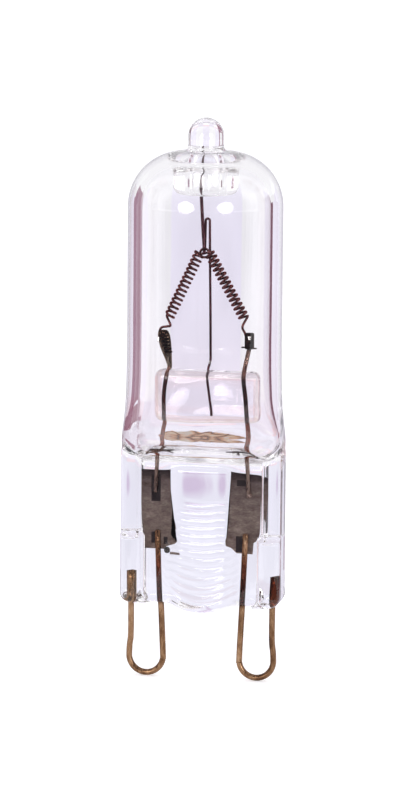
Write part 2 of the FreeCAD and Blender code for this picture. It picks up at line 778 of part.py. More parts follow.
def build_model():
    wires, channels = wires_and_channels()
    room = "foil_thickness + 2 * seal_clearance"
    nodes = dict(wires)
    nodes["foil_left"] = foil("foil_left", LEFT, False, "foil_thickness")
    nodes["foil_right"] = foil("foil_right", RIGHT, True, "foil_thickness")
    foil_rooms = [
        foil("foil_room_left", LEFT, False, room),
        foil("foil_room_right", RIGHT, True, room),
    ]
    glass = fuse("glass", [tube_and_dome(), shoulder(), press_seal()])
    sealed = ["pin_loop_left", "pin_loop_right", "lead_wire_left", "lead_wire_right", "top_support_wire"]
    hollow = fuse("hollow", [tube_cavity(), shoulder_cavity()])
    room_for_metal = fuse("room_for_metal", [channels[name] for name in sealed] + foil_rooms)
    nodes["envelope"] = cut("envelope", cut("glass_shell", glass, hollow), room_for_metal)
    held = ["lead_wire_left", "lead_wire_right", "centre_support_wire"]
    bridge_room = fuse("bridge_room", [channels[name] for name in held])
    nodes["bridge_bar"] = cut("bridge_bar", bridge_blank(), bridge_room)
    nodes["filament_clamp_left"] = cut("filament_clamp_left", left_clamp_blank(), fuse(
        "left_clamp_room", [channels["lead_wire_left"], tail_bore("left_tail_bore", LEFT)]))
    nodes["filament_clamp_right"] = cut("filament_clamp_right", right_clamp_blank(), fuse(
        "right_clamp_room", [channels["lead_wire_right"], tail_bore("right_tail_bore", RIGHT)]))
    nodes["filament"] = filament()
    doc.recompute()
    return nodes


def check_model(nodes):
    """Stops if any object failed, or a node has no valid single solid."""
    for item in doc.Objects:
        if "Invalid" in item.State or "Error" in item.State:
            raise RuntimeError(f"{item.Label} failed: {item.State}")
    for name, item in nodes.items():
        shape = item.Shape
        if shape.isNull() or not shape.isValid() or len(shape.Solids) != 1:
            raise RuntimeError(f"{name} is not one valid solid")


def export_model(nodes):
    os.makedirs("parts", exist_ok=True)
    for name, item in nodes.items():
        item.Label = name
        item.Shape.exportStep(f"parts/{name}.step")
        print(f"{name}: {item.Shape.Volume:.3f} mm3, {len(item.Shape.Faces)} faces")


model = build_model()
check_model(model)
export_model(model)
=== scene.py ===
import math

import bmesh
import bpy
from mathutils import Matrix, Vector, noise

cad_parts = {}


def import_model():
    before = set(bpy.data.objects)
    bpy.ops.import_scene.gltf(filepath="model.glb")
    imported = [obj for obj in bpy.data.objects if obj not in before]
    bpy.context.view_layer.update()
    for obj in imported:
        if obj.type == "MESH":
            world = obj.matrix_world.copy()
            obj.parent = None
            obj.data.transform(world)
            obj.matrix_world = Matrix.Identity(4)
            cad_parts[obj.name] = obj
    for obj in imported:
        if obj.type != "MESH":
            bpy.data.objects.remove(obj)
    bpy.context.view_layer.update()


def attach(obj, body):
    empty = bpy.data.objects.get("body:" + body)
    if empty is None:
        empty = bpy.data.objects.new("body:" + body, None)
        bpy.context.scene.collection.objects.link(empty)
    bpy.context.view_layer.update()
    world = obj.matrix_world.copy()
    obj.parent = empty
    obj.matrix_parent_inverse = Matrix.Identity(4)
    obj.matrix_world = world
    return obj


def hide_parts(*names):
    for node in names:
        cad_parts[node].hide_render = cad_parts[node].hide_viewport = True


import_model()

# Clear halogen capsule bulb. Numbers here are millimetres in the part's frame; MM turns them into metres.
# X runs across the press seal, Y through it (the front is -Y), Z up the bulb's axis.

MM = 0.001

# round glass
TUBE_RADIUS = 6.15
WALL = 1.0
INNER_RADIUS = TUBE_RADIUS - WALL
TOP = 45.0
TIP_RADIUS = 1.42
DOME_TOP = 42.35
NECK = 0.4
BORE_TOP = 42.6
BORE_RADIUS = 1.125
COLLAR_RADIUS = 2.6
COLLAR_BOTTOM = 38.95
SHOULDER_TOP = 27.0
HOLLOW_FLOOR = 18.9

# press seal
SEAL_BOTTOM = 6.1
SEAL_CORNER = 0.9
BOSS_BOTTOM = 5.45

# planes through the press seal's depth
PIN_Y = -0.285
LEAD_Y = -0.205
CENTRE_Y = 0.395

# which way the photo looks: round from the front, and from above
AZIMUTH = math.radians(11.5)
ELEVATION = math.radians(9.0)


# numbers

def smooth(low, high, number):
    """0 at low, 1 at high, and a soft rise between; low may be the larger."""
    share = min(max((number - low) / (high - low), 0.0), 1.0)
    return share * share * (3 - 2 * share)


def mix(first, second, share):
    return first + (second - first) * share


def arc(centre, radius, start, end, steps):
    """Points round a centre, angles in degrees."""
    return [
        (centre[0] + radius * math.cos(math.radians(mix(start, end, step / steps))),
         centre[1] + radius * math.sin(math.radians(mix(start, end, step / steps))))
        for step in range(steps + 1)
    ]


def soft_max(first, second, blend):
    """The larger of two numbers, rounded off where they are closer than blend."""
    gap = max(blend - abs(first - second), 0.0) / blend
    return max(first, second) + gap * gap * blend / 4


def lookup(table, place):
    """A smooth line through a table of (place, number), places rising."""
    if place <= table[0][0]:
        return table[0][1]
    for index in range(len(table) - 1):
        (low, start), (high, end) = table[index], table[index + 1]
        if place <= high:
            run = high - low
            rise_in = rise_out = end - start
            if index:
                before = table[index - 1]
                rise_in = (end - before[1]) / (high - before[0]) * run
            if index + 2 < len(table):
                after = table[index + 2]
                rise_out = (after[1] - start) / (after[0] - low) * run
            share = (place - low) / run
            square, cube = share**2, share**3
            return (
                (2 * cube - 3 * square + 1) * start
                + (cube - 2 * square + share) * rise_in
                + (3 * square - 2 * cube) * end
                + (cube - square) * rise_out
            )
    return table[-1][1]


# objects

def add_object(name, mesh):
    """An object that shows the mesh, linked into the scene."""
    piece = bpy.data.objects.new(name, mesh)
    bpy.context.scene.collection.objects.link(piece)
    return piece


def add_piece(name, mesh, replaced=()):
    """A visible piece of the bulb, which may take the place of solids."""
    piece = add_object(name, mesh)
    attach(piece, "root")
    if replaced:
        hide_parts(*replaced)
    return piece


def make_piece(name, points, faces, material, replaced=()):
    """A smooth-shaded piece of the bulb from points in millimetres."""
    mesh = bpy.data.meshes.new(name)
    mesh.from_pydata([Vector(point) * MM for point in points], [], faces)
    mesh.materials.append(material)
    work = bmesh.new()
    work.from_mesh(mesh)
    bmesh.ops.recalc_face_normals(work, faces=work.faces)
    for face in work.faces:
        face.smooth = True
    work.to_mesh(mesh)
    work.free()
    return add_piece(name, mesh, replaced)


def walls(count, rings, first=0):
    """Faces from each ring of points to the next, for rings of count points from the first point on."""
    faces = []
    for low in range(first, first + (rings - 1) * count, count):
        for step in range(count):
            onward = (step + 1) % count
            faces.append((low + step, low + onward, low + count + onward, low + count + step))
    return faces


def rounded_box(centre, size, corner, name, material, replaced=(), lean=0.0):
    """A box with round edges, its front turned up by lean degrees; its place and size in millimetres."""
    work = bmesh.new()
    bmesh.ops.create_cube(work, size=1.0)
    for vertex in work.verts:
        vertex.co = vertex.co * Vector(size)
    bmesh.ops.bevel(work, geom=list(work.edges), offset=corner, segments=5, profile=0.5, affect="EDGES")
    turn = Matrix.Rotation(math.radians(-lean), 3, "X")
    points = [turn @ vertex.co + Vector(centre) for vertex in work.verts]
    faces = [tuple(vertex.index for vertex in face.verts) for face in work.faces]
    work.free()
    return make_piece(name, points, faces, material, replaced)


# material nodes

NOISE_RANGE = (0.3, 0.7)
WHITE = (1.0, 1.0, 1.0)


def new_material(name, kind="ShaderNodeBsdfPrincipled"):
    """A material with one shader on its surface. Gives the material, its node tree and the shader."""
    material = bpy.data.materials.new(name)
    material.use_nodes = True
    tree = material.node_tree
    tree.nodes.clear()
    output = tree.nodes.new("ShaderNodeOutputMaterial")
    shader = tree.nodes.new(kind)
    tree.links.new(shader.outputs[0], output.inputs["Surface"])
    return material, tree, shader


def fill(node, values):
    """Sets inputs of a node, by name."""
    for name, value in values.items():
        node.inputs[name].default_value = value


def object_place(tree, scale=(1, 1, 1), shift=(0, 0, 0)):
    """The place on the piece in millimetres, stretched by scale and then shifted."""
    coordinates = tree.nodes.new("ShaderNodeTexCoord")
    mapping = tree.nodes.new("ShaderNodeMapping")
    fill(mapping, {"Location": shift, "Scale": [number / MM for number in scale]})
    tree.links.new(coordinates.outputs["Object"], mapping.inputs["Vector"])
    return mapping.outputs["Vector"]


def noise_at(tree, place, scale, detail=3.0, roughness=0.55):
    texture = tree.nodes.new("ShaderNodeTexNoise")
    fill(texture, {"Scale": scale, "Detail": detail, "Roughness": roughness})
    tree.links.new(place, texture.inputs["Vector"])
    return texture.outputs["Fac"]


def rescaled(tree, factor, start, end, low=0.0, high=1.0):
    """A factor's range from start to end turned into low to high."""
    node = tree.nodes.new("ShaderNodeMapRange")
    fill(node, {"From Min": start, "From Max": end, "To Min": low, "To Max": high})
    tree.links.new(factor, node.inputs["Value"])
    return node.outputs["Result"]


def ramp(tree, factor, stops):
    """Colours along a factor: stops are (place, colour)."""
    node = tree.nodes.new("ShaderNodeValToRGB")
    elements = node.color_ramp.elements
    while len(elements) < len(stops):
        elements.new(0.5)
    for element, (place, colour) in zip(elements, stops):
        element.position = place
        element.color = (*colour, 1.0)
    tree.links.new(factor, node.inputs["Fac"])
    return node.outputs["Color"]


def height_ramp(tree, stops):
    """Colours up the bulb: stops are (height, colour)."""
    coordinates = tree.nodes.new("ShaderNodeTexCoord")
    split = tree.nodes.new("ShaderNodeSeparateXYZ")
    tree.links.new(coordinates.outputs["Object"], split.inputs[0])
    share = rescaled(tree, split.outputs["Z"], 0.0, TOP * MM)
    return ramp(tree, share, [(z / TOP, tint) for z, tint in stops])


def multiplied(tree, first, second):
    """Two colours multiplied."""
    node = tree.nodes.new("ShaderNodeMix")
    node.data_type = "RGBA"
    node.blend_type = "MULTIPLY"
    node.inputs["Factor"].default_value = 1.0
    tree.links.new(first, node.inputs[6])
    tree.links.new(second, node.inputs[7])
    return node.outputs[2]


def bump(tree, shader, height, strength, distance):
    """Relief on a shader, its distance in millimetres."""
    node = tree.nodes.new("ShaderNodeBump")
    fill(node, {"Strength": strength, "Distance": distance * MM})
    tree.links.new(height, node.inputs["Height"])
    tree.links.new(node.outputs["Normal"], shader.inputs["Normal"])


# glass materials

QUARTZ_IOR = 1.458
WAVE_STRETCH = (1, 1, 0.35)


def clear_glass(name, tints, wave, wave_scale, wave_distance, rough=0.0, rim=()):
    """Fused quartz: clear, a little tinted, with the slow waves of blown or pressed glass.

    Tints are (height, colour). Rim is (share, colour): painted shade, the glass's colour darkened where it
    turns edge-on, standing for the dark outline along its silhouette.
    """
    material, tree, shader = new_material(name)
    colour = height_ramp(tree, tints)
    # painted shade: the colour darkens towards the silhouette, by how edge-on the glass faces
    if rim:
        weight = tree.nodes.new("ShaderNodeLayerWeight")
        weight.inputs["Blend"].default_value = 0.5
        colour = multiplied(tree, colour, ramp(tree, weight.outputs["Facing"], rim))
    tree.links.new(colour, shader.inputs["Base Color"])
    fill(shader, {"Transmission Weight": 1.0, "IOR": QUARTZ_IOR, "Roughness": rough})
    place = object_place(tree, WAVE_STRETCH)
    bump(tree, shader, noise_at(tree, place, wave_scale, detail=1.5), wave, wave_distance)
    return material


def scorched_glass(name):
    """Quartz browned in streaks, where the walls met over the lead wires' metal."""
    material, tree, shader = new_material(name)
    streaks = noise_at(tree, object_place(tree, (0.55, 1.1, 1.1)), 1.35, detail=1.6, roughness=0.5)
    tree.links.new(ramp(tree, streaks, [
        (0.36, (1.0, 0.72, 0.48)), (0.43, (0.8, 0.34, 0.12)), (0.47, (0.3, 0.08, 0.03)),
        (0.5, (0.1, 0.025, 0.012)), (0.53, (0.5, 0.17, 0.05)), (0.6, (0.95, 0.58, 0.32)),
        (0.68, (1.0, 0.84, 0.68))]), shader.inputs["Base Color"])
    fill(shader, {"Transmission Weight": 0.15, "IOR": QUARTZ_IOR, "Specular IOR Level": 0.08,
                  "Roughness": 0.5})
    bump(tree, shader, streaks, 0.5, 0.05)
    return material


BLOWN_TINTS = [(19.5, (0.98, 0.96, 0.97)), (28.0, (0.975, 0.968, 0.985)), (36.5, (0.975, 0.97, 0.985)),
               (39.3, (0.992, 0.992, 0.995)), (45.0, (0.995, 0.995, 0.995))]
# its rim stops are painted shade along the silhouette
GLASS = clear_glass(
    "quartz_glass_clear", BLOWN_TINTS, 0.25, 0.45, 0.02,
    rim=[(0.6, WHITE), (0.74, (0.66, 0.66, 0.67)), (0.84, (0.22, 0.22, 0.23)),
         (0.95, (0.08, 0.08, 0.09))])
BORE_GLASS = clear_glass("quartz_glass_bore", BLOWN_TINTS, 0.25, 0.45, 0.02)
# its rim stops are painted shade along the silhouette
PRESSED = clear_glass(
    "quartz_glass_pressed",
    [(5.0, (0.985, 0.985, 0.99)), (12.0, (0.975, 0.975, 0.988)), (15.0, (0.965, 0.958, 0.98)),
     (18.0, (0.985, 0.985, 0.99))],
    0.35, 1.1, 0.03, rim=[(0.7, WHITE), (0.85, (0.62, 0.6, 0.64)), (0.96, (0.25, 0.23, 0.26))])
BAR_GLASS = clear_glass(
    "bridge_glass", [(20.8, (0.965, 0.96, 0.985)), (25.0, (0.97, 0.965, 0.985))], 0.5, 0.8, 0.04)
BAR_EDGE = clear_glass(
    "bridge_glass_edges", [(20.8, (0.87, 0.72, 0.67)), (25.0, (0.86, 0.76, 0.71))], 0.9, 2.2, 0.06,
    rough=0.2)
SCORCHED = scorched_glass("quartz_glass_scorched")


# metals

BLOTCH_SHARE = 0.55
GRAIN_SHARE = 0.45
BLOTCH_SIZE = 5
GRAIN_DEPTH = 0.02


def metal(name, stops, scale=(1, 1, 1), grain=9.0, rough=(0.25, 0.5), grain_bump=0.25, metallic=1.0,
          zones=(), edge=WHITE):
    """A drawn or oxidised metal with mottled colour, uneven gloss and a fine grain.

    Zones are (height, colour): the metal's colour is multiplied by these, smoothly along the bulb.
    Edge is the tint of its glare where it turns edge-on.
    """
    material, tree, shader = new_material(name)
    place = object_place(tree, scale)
    blotch = noise_at(tree, place, grain / BLOTCH_SIZE)
    fine = noise_at(tree, place, grain, detail=5.0)
    fine_part = tree.nodes.new("ShaderNodeMath")
    fine_part.operation = "MULTIPLY"
    fine_part.inputs[1].default_value = GRAIN_SHARE
    tree.links.new(fine, fine_part.inputs[0])
    mottle = tree.nodes.new("ShaderNodeMath")
    mottle.operation = "MULTIPLY_ADD"
    mottle.inputs[1].default_value = BLOTCH_SHARE
    tree.links.new(blotch, mottle.inputs[0])
    tree.links.new(fine_part.outputs[0], mottle.inputs[2])
    colour = ramp(tree, mottle.outputs[0], stops)
    if zones:
        colour = multiplied(tree, colour, height_ramp(tree, zones))
    tree.links.new(colour, shader.inputs["Base Color"])
    tree.links.new(rescaled(tree, fine, *NOISE_RANGE, *rough), shader.inputs["Roughness"])
    fill(shader, {"Metallic": metallic, "Specular Tint": (*edge, 1.0)})
    bump(tree, shader, fine, grain_bump, GRAIN_DEPTH)
    return material


TUNGSTEN = metal(
    "tungsten_wire", [(0.3, (0.04, 0.013, 0.014)), (0.5, (0.13, 0.045, 0.045)), (0.75, (0.36, 0.17, 0.16))],
    grain=14.0, rough=(0.3, 0.5), edge=(0.6, 0.3, 0.3))
SUPPORT = metal(
    "support_metal", [(0.3, (0.035, 0.012, 0.018)), (0.55, (0.1, 0.04, 0.05)), (0.8, (0.26, 0.15, 0.15))],
    scale=(1, 1, 0.15), grain=8.0, rough=(0.3, 0.5), edge=(0.5, 0.24, 0.3))
CLAMP = metal(
    "clamp_taupe", [(0.34, (0.02, 0.011, 0.008)), (0.48, (0.13, 0.09, 0.065)), (0.62, (0.5, 0.42, 0.33))],
    scale=(1.6, 1.6, 0.12), grain=6.0, rough=(0.15, 0.35), edge=(0.7, 0.55, 0.45),
    zones=[(26.7, WHITE), (27.3, (0.35, 0.28, 0.25)), (28.1, (0.2, 0.14, 0.12))])
DARK_CLIP = metal(
    "clip_dark", [(0.3, (0.008, 0.003, 0.003)), (0.55, (0.022, 0.01, 0.008)), (0.8, (0.09, 0.05, 0.04))],
    grain=8.0, rough=(0.25, 0.4), edge=(0.35, 0.2, 0.18))
LEAD = metal(
    "lead_molybdenum", [(0.3, (0.13, 0.09, 0.08)), (0.5, (0.3, 0.225, 0.195)), (0.75, (0.6, 0.5, 0.43))],
    scale=(1, 1, 0.25), grain=7.0, rough=(0.2, 0.42), edge=(0.75, 0.55, 0.5),
    zones=[(14.8, (0.9, 0.85, 0.85)), (18.7, (0.9, 0.8, 0.75)), (18.95, (0.85, 0.28, 0.17)),
           (20.75, (0.8, 0.22, 0.13)), (20.95, (0.16, 0.05, 0.045)), (24.3, (0.13, 0.045, 0.05)),
           (24.6, (0.95, 0.62, 0.57)), (26.0, (0.75, 0.63, 0.58))])
FOIL = metal(
    "foil_taupe", [(0.3, (0.05, 0.034, 0.03)), (0.42, (0.12, 0.088, 0.078)), (0.55, (0.185, 0.145, 0.13)),
                   (0.7, (0.3, 0.25, 0.23))],
    scale=(1, 1, 2.2), grain=4.0, rough=(0.4, 0.6), metallic=0.6, grain_bump=0.6,
    zones=[(10.4, (1.2, 1.1, 1.05)), (13.5, (1.35, 1.3, 1.26)), (15.9, (0.95, 0.88, 0.9)),
           (16.25, (0.4, 0.33, 0.36)), (16.7, (0.2, 0.14, 0.18))])
# dark weld metal for the scorches and the left weld ball, also used as painted shade round the left lead's
# foot
WELD_AND_SHADE = metal(
    "weld_scorch_and_painted_shade", [(0.3, (0.012, 0.006, 0.008)), (0.7, (0.035, 0.02, 0.022))],
    grain=8.0, rough=(0.45, 0.65), metallic=0.5)
# painted highlight: a bright metal standing for small glints on the clamps and the centre wire
PAINTED_GLINT = metal(
    "painted_glint_metal", [(0.3, (0.6, 0.55, 0.52)), (0.7, (0.9, 0.87, 0.84))], grain=8.0, rough=(0.2, 0.35))


def bronze(name, zones=()):
    """The pin loops' browned metal, darker in zones along the bulb."""
    return metal(
        name, [(0.3, (0.04, 0.017, 0.01)), (0.45, (0.17, 0.09, 0.048)), (0.58, (0.31, 0.185, 0.105)),
               (0.8, (0.62, 0.44, 0.3))],
        scale=(1, 1, 0.3), grain=5.0, rough=(0.16, 0.38), zones=zones)


BRONZE = bronze("pin_bronze")
BRONZE_SEALED = bronze("pin_bronze_sealed", [
    (5.8, WHITE), (6.3, (0.2, 0.1, 0.14)), (7.6, (0.26, 0.12, 0.16)), (9.4, (0.6, 0.3, 0.26)),
    (10.6, (1.1, 1.0, 0.95)), (11.9, (1.2, 1.15, 1.15))])
# darker from the seal's foot up, on the right loop's outer leg only
BRONZE_END = bronze("pin_bronze_end", [
    (5.9, WHITE), (6.4, (0.5, 0.25, 0.2)), (7.4, (0.35, 0.13, 0.1)), (8.6, (0.3, 0.12, 0.1))])


# glass envelope: dome, tip and collar

def outer_profile():
    """(radius, height) of the dome and tip, from the very top down to the tube."""
    corner = TUBE_RADIUS - TIP_RADIUS - NECK
    tip = arc((0, TOP - TIP_RADIUS), TIP_RADIUS, 90, 0, steps=14)
    neck = arc((TIP_RADIUS + NECK, DOME_TOP + NECK), NECK, 180, 270, steps=8)
    dome = arc((TUBE_RADIUS - corner, DOME_TOP - corner), corner, 90, 0, steps=26)
    return tip + neck + dome[1:]


def inner_profile():
    """(radius, height) of the hollow, from the top of the tip's bore down to the tube."""
    corner = TUBE_RADIUS - TIP_RADIUS - NECK - WALL
    lip_radius = (COLLAR_RADIUS - BORE_RADIUS) / 2
    lip_z = COLLAR_BOTTOM + lip_radius
    dome = arc((INNER_RADIUS - corner, DOME_TOP - WALL - corner), corner, 90, 0, steps=22)
    dome = [point for point in dome if point[0] > COLLAR_RADIUS + 0.15]
    bore = arc((0, BORE_TOP - BORE_RADIUS), BORE_RADIUS, 90, 0, steps=8)
    lip = arc(((BORE_RADIUS + COLLAR_RADIUS) / 2, lip_z), lip_radius, 180, 360, steps=16)
    meet = dome[0][1]
    side = [(COLLAR_RADIUS, mix(lip_z, meet, share)) for share in (0.2, 0.4, 0.6)]
    fillet = [(COLLAR_RADIUS + 0.03, meet - 0.15), (COLLAR_RADIUS + 0.09, meet - 0.04)]
    return bore + lip + side + fillet + dome


# glass envelope: shoulder and press seal, as (height, number) of the outside's rings

OVAL_DEPTH = [(6.1, 0.4), (17.0, 0.9), (17.5, 1.12), (18.05, 1.65), (18.7, 2.75), (19.3, 3.95), (19.9, 4.85),
              (20.7, 5.45), (21.4, 5.77), (22.0, 5.99), (22.6, 6.11), (23.2, 6.15), (27.0, 6.15)]
OVAL_POWER = [(17.2, 7.0), (18.2, 4.2), (19.0, 3.0), (20.2, 2.35), (21.5, 2.1), (23.0, 2.0)]
OVAL_WIDTH = [(14.0, 6.5), (17.9, 6.5), (19.4, 6.5), (22.0, 6.27), (24.5, 6.18), (27.0, 6.15)]
SEAL_TO_SHOULDER = (18.2, 20.0)
SEAL_EDGE_POWER = 10
SEAL_BLEND = 0.35

# half the web's thickness, and how far each form stands out of it, from where to where
WEB_DEPTH = 1.0
RIB_RISE = 0.5
RIB_FLANK = (4.93, 5.17)
RIB_FOOT = (11.35, 11.7)
RIB_TOP = (18.3, 19.2)
LUG_RISE = 0.9
LUG_FLANK = (4.62, 4.9)
LUG_TOP = (11.45, 11.75)
LUG_CURVE = 2.5
LEFT_LUG_LINE = 5.95
RIGHT_LUG_LINE = 5.65
RIGHT_LUG_CROWN = (6.6, 8.8)
BOSS_RISE = 0.4
BOSS_FLANK = (1.4, 3.6)
BOSS_TOP = (16.8, 17.9)
BOSS_ARC = 5.0
BOSS_REACH = 4.9

# the boss's arched ridges
RIDGES = [6.6 + 0.62 * index for index in range(13)]
RIDGE_RISE = 0.032
RIDGE_HALF = 0.24
RIDGE_ARC = 9.0
RIDGE_REACH = 3.2
RIDGE_FADE = 1.2
RIDGE_ENDS = (3.1, 2.1)
RIDGE_NARROWING = (9.5, 11.0)
RIDGE_TOP = (13.8, 15.0)


def ridge_rise(across, z):
    """How far a ridge stands out of the boss at a place."""
    ridge = 0.0
    if across < RIDGE_REACH:
        sag = RIDGE_ARC - math.sqrt(RIDGE_ARC**2 - across * across)
        end = mix(*RIDGE_ENDS, smooth(*RIDGE_NARROWING, z))
        for level in RIDGES:
            off = abs(z - level - sag)
            if off < RIDGE_HALF:
                crest = math.cos(off / RIDGE_HALF * math.pi / 2) ** 2
                ridge = RIDGE_RISE * crest * (1 - smooth(RIDGE_FADE, end, across))
    return ridge * (1 - smooth(*RIDGE_TOP, z))


def seal_depth(x, z):
    """Half the press seal's thickness at a place: web, ribs, lugs, boss and its ridges."""
    across = abs(x)
    rib = smooth(*RIB_FLANK, across) * (1 - smooth(*RIB_TOP, z))
    lug = smooth(*LUG_FLANK, across) * (1 - smooth(*LUG_TOP, z))
    crown = 1.0 if x < 0 else smooth(*RIGHT_LUG_CROWN, z)
    lug_line = LEFT_LUG_LINE if x < 0 else RIGHT_LUG_LINE
    boss = (1 - smooth(*BOSS_FLANK, across)) * (1 - smooth(*BOSS_TOP, z))
    depth = WEB_DEPTH
    depth += RIB_RISE * rib * smooth(*RIB_FOOT, z)
    depth += lug * (LUG_RISE - crown * (across - lug_line) ** 2 / LUG_CURVE)
    depth += boss * BOSS_RISE + ridge_rise(across, z)
    return depth


def seal_floor(x):
    """Height of the seal's lower edge: straight, with the boss hanging below it in an arc."""
    dip = BOSS_BOTTOM + BOSS_ARC - math.sqrt(max(BOSS_ARC**2 - min(abs(x), BOSS_REACH) ** 2, 0))
    soft = 0.12
    gap = dip - SEAL_BOTTOM
    return SEAL_BOTTOM + (gap - math.sqrt(gap * gap + soft * soft)) / 2


def half_width(z):
    """Half the width of the shoulder or seal at a height, with the seal's lower corners rounded."""
    width = lookup(OVAL_WIDTH, z)
    low = z - SEAL_BOTTOM
    if low < SEAL_CORNER:
        width -= SEAL_CORNER - math.sqrt(max(SEAL_CORNER**2 - (SEAL_CORNER - max(low, 0.0)) ** 2, 0.0))
    return width


# glass envelope: the two skins

OUTER_COUNT = 264
INNER_COUNT = 128
TUBE_STEP = 1.2
SHOULDER_STEP = 0.22
SHOULDER_FOOT = 19.5
SEAL_STEP = 0.085
ROUND_BOTTOM = 0.45
ROUND_STEPS = 6
DROP_TOP = 11.0


def lower_levels():
    """Nominal heights of the outside's rings below the tube, down to the seal's rounded lower edge."""
    levels = []
    z = SHOULDER_TOP
    while z > SHOULDER_FOOT:
        levels.append(z)
        z -= SHOULDER_STEP
    while z > SEAL_BOTTOM + ROUND_BOTTOM:
        levels.append(z)
        z -= SEAL_STEP
    return levels


def lower_ring(z):
    """A ring of the shoulder or seal, as (x, y), round from +X."""
    width = half_width(z)
    oval = min(lookup(OVAL_DEPTH, z), TUBE_RADIUS)
    power = lookup(OVAL_POWER, z)
    ring = []
    for step in range(OUTER_COUNT):
        angle = math.pi / 2 * step / (OUTER_COUNT // 4)
        along, side = math.cos(angle), math.sin(angle)
        x = width * along
        round_part = oval * max(1 - abs(along) ** power, 0.0) ** (1 / power)
        share = max(1 - abs(along) ** SEAL_EDGE_POWER, 0.0) ** (1 / SEAL_EDGE_POWER)
        flat_part = seal_depth(x, z) * share * (1 - smooth(*SEAL_TO_SHOULDER, z))
        depth = soft_max(round_part, flat_part, SEAL_BLEND * share + 0.001)
        ring.append((x, math.copysign(depth, side) if abs(side) > 1e-9 else 0.0))
    return ring


def circle(radius, z, count):
    """A level circle of points round the axis."""
    angles = [2 * math.pi * step / count for step in range(count)]
    return [(radius * math.cos(angle), radius * math.sin(angle), z) for angle in angles]


def bottom_ring(base, angle):
    """A ring of the seal's rounded lower edge, at an angle of its rounding."""
    z = SEAL_BOTTOM + ROUND_BOTTOM * (1 - math.sin(angle))
    width = half_width(z) / half_width(SEAL_BOTTOM + ROUND_BOTTOM)
    ring = []
    for x, y in base:
        thick = abs(y)
        inset = min(ROUND_BOTTOM * (1 - math.cos(angle)), thick)
        drop = seal_floor(x * width) - SEAL_BOTTOM
        ring.append((x * width, math.copysign(thick - inset, y) if y else 0.0, z + drop))
    return ring


def skin(apex_z, rings, inward):
    """Points and faces of a closed skin: an apex, rings below it, and the last ring joined front to back."""
    count = len(rings[0])
    points = [(0.0, 0.0, apex_z)] + [point for ring in rings for point in ring]
    last = 1 + count * (len(rings) - 1)
    faces = walls(count, len(rings), first=1)
    faces += [(0, 1 + step, 1 + (step + 1) % count) for step in range(count)]
    if inward:
        faces = [(face[0], *face[:0:-1]) for face in faces]
    for step in range(count // 2):
        front, back = last + step, last + (count - step) % count
        front_on, back_on = last + step + 1, last + (count - step - 1) % count
        strip = (front, front_on, back_on, back)
        faces.append(tuple(dict.fromkeys(strip[::-1] if inward else strip)))
    return points, faces


def outer_skin():
    """The outside of the glass, from the tip down to the seal's lower edge."""
    profile = outer_profile()
    rings = [circle(radius, z, OUTER_COUNT) for radius, z in profile[1:]]
    z = profile[-1][1] - TUBE_STEP
    while z > SHOULDER_TOP + 0.3:
        rings.append(circle(TUBE_RADIUS, z, OUTER_COUNT))
        z -= TUBE_STEP
    for z in lower_levels():
        sink = 1 - smooth(SEAL_BOTTOM + ROUND_BOTTOM, DROP_TOP, z)
        rings.append([(x, y, z + (seal_floor(x) - SEAL_BOTTOM) * sink) for x, y in lower_ring(z)])
    base = lower_ring(SEAL_BOTTOM + ROUND_BOTTOM)
    for step in range(ROUND_STEPS + 1):
        rings.append(bottom_ring(base, math.pi / 2 * step / ROUND_STEPS))
    return skin(profile[0][1], rings, inward=False)


# the hollow's half depth and half width, as (height, number), and its floor's ripple and swelling
INNER_DEPTH = [(18.9, 0.12), (18.96, 0.8), (19.1, 1.55), (19.4, 2.5), (19.9, 3.45), (20.5, 4.1),
               (21.2, 4.62), (21.8, 4.9), (22.4, 5.07), (23.1, 5.15), (27.0, 5.15)]
INNER_WIDTH = [(18.9, 4.9), (19.0, 5.15), (19.3, 5.4), (19.8, 5.52), (20.6, 5.45), (22.0, 5.3), (24.5, 5.18),
               (27.0, 5.15)]
INNER_STEPS = [(SHOULDER_TOP, TUBE_STEP), (20.6, 0.25), (19.3, 0.07), (0.0, 0.02)]
FLOOR_RIPPLE = 0.08
MIDDLE_SWELL = 0.12
MIDDLE_EDGE = (3.3, 4.2)
SIDE_SINK = 0.3
SIDE_EDGE = (3.8, 4.5)
FLOOR_REACH = 0.9


def inner_ring(z):
    """A ring of the hollow below the dome, with the floor's ripple and swelling near its bottom."""
    sink = 1 - smooth(HOLLOW_FLOOR, HOLLOW_FLOOR + FLOOR_REACH, z)
    ring = []
    for step in range(INNER_COUNT):
        angle = 2 * math.pi * step / INNER_COUNT
        x, y = lookup(INNER_WIDTH, z) * math.cos(angle), lookup(INNER_DEPTH, z) * math.sin(angle)
        swell = MIDDLE_SWELL * (1 - smooth(*MIDDLE_EDGE, abs(x))) - SIDE_SINK * smooth(*SIDE_EDGE, abs(x))
        ripple = FLOOR_RIPPLE * noise.noise((x * 1.1, y * 0.8, 3.0))
        ring.append((x, y, z + sink * (ripple + swell)))
    return ring


def inner_skin():
    """The skin of the hollow, from the tip's bore down to the floor above the seal."""
    profile = inner_profile()
    rings = [circle(radius, z, INNER_COUNT) for radius, z in profile[1:]]
    z = profile[-1][1] - TUBE_STEP
    while z > HOLLOW_FLOOR:
        rings.append(inner_ring(z))
        z -= next(step for level, step in INNER_STEPS if z > level)
    return skin(profile[0][1], rings, inward=True)


# glass envelope: the piece

ENVELOPE_GLASS = (GLASS, PRESSED, SCORCHED, BORE_GLASS)
PRESSED_TOP = 18.6

# the scorched strip on the hollow's floor: its middle, how far it reaches, and its depth behind the middle
SCORCH_X = -0.6
SCORCH_HALF = 4.2
SCORCH_SPAN = 4.4
SCORCH_TOP = 20
SCORCH_FRONT = 0.1
SCORCH_ENDS = 0.2
SCORCH_SWELL = 1.3


